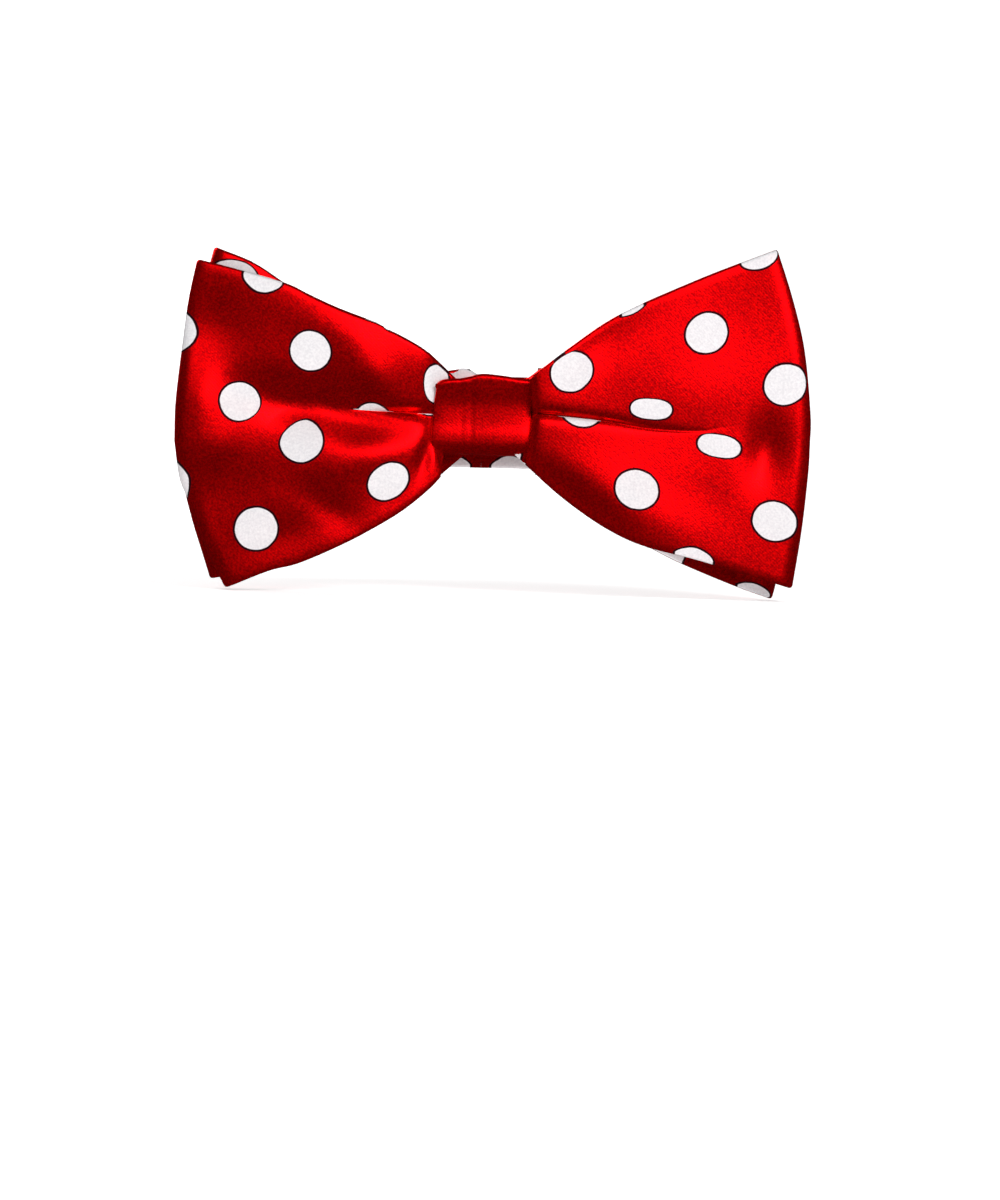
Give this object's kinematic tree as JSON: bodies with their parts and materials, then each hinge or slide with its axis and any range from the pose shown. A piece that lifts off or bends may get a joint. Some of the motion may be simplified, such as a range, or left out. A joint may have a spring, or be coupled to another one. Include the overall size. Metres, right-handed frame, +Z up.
{
  "type": "bow tie",
  "caption": "Pre-tied bow tie with two looped satin bows, a wrapped knot and an adjustable neckband that folds flat behind it and closes with a hook and eye.",
  "frame": {"origin": "middle of the tie's width and depth, on the surface that it stands on", "axes": "+X to the right as seen from the front, -Y the way the front faces, +Z up"},
  "size_m": [0.12, 0.0305, 0.0653],
  "materials": {
    "satin": "red satin with white dots",
    "plain_satin": "plain red satin",
    "interlining": "undyed woven interlining",
    "thread": "red sewing thread",
    "metal": "bright nickel plate"
  },
  "bodies": {
    "bow": {"front_bow": "satin", "front_bow_interlining": "interlining", "rear_bow": "satin", "rear_bow_interlining": "interlining", "waist_thread": "thread", "knot_wrap": "plain_satin", "knot_interlining": "interlining", "knot_tacks": "thread", "band_base": "satin", "band_base_interlining": "interlining", "band_fold_a": "satin", "eye_tab": "satin", "eye_tab_stitches": "thread"},
    "second_run": {"band_run_2": "satin", "band_run_2_interlining": "interlining", "band_fold_b": "satin"},
    "third_run": {"band_run_3": "satin", "band_run_3_interlining": "interlining", "band_fold_c": "satin"},
    "fourth_run": {"band_run_4": "satin", "band_run_4_interlining": "interlining", "adjusting_strap": "satin"},
    "adjuster": {"slide_adjuster": "metal", "tail_loop": "satin", "tail_stitches": "thread"},
    "hook_end": {"hook_turn": "satin"},
    "hook": {"hook": "metal"},
    "eye": {"eye": "metal"}
  },
  "joints": [
    {"name": "fold_a", "type": "hinge", "parent": "bow", "child": "second_run", "pos_m": [-0.055, 0.0052, 0.0326], "axis": [0, 0, 1], "range_deg": [0, 120], "deforming": ["band_fold_a"]},
    {"name": "fold_b", "type": "hinge", "parent": "second_run", "child": "third_run", "pos_m": [0.043, 0.00775, 0.0326], "axis": [0, 0, -1], "range_deg": [0, 120], "deforming": ["band_fold_b"]},
    {"name": "fold_c", "type": "hinge", "parent": "third_run", "child": "fourth_run", "pos_m": [-0.05, 0.01025, 0.0326], "axis": [0, 0, 1], "range_deg": [0, 150], "deforming": ["band_fold_c"]},
    {"name": "adjuster_slide", "type": "slide", "parent": "fourth_run", "child": "adjuster", "axis": [-1, 0, 0], "range_m": [0, 0.036], "deforming": ["adjusting_strap"]},
    {"name": "hook_draw", "type": "slide", "parent": "adjuster", "child": "hook_end", "axis": [1, 0, 0], "range_m": [0, 0.018]},
    {"name": "hook_pivot", "type": "hinge", "parent": "hook_end", "child": "hook", "pos_m": [0.027, 0.0124, 0.0326], "axis": [0, 0, 1], "range_deg": [0, 70]},
    {"name": "eye_pivot", "type": "hinge", "parent": "bow", "child": "eye", "pos_m": [0.046, 0.0043, 0.0326], "axis": [0, 0, 1], "range_deg": [0, 80]}
  ],
  "couplings": [
    {"joint": "hook_draw", "follows": "adjuster_slide", "ratio": 0.5}
  ]
}
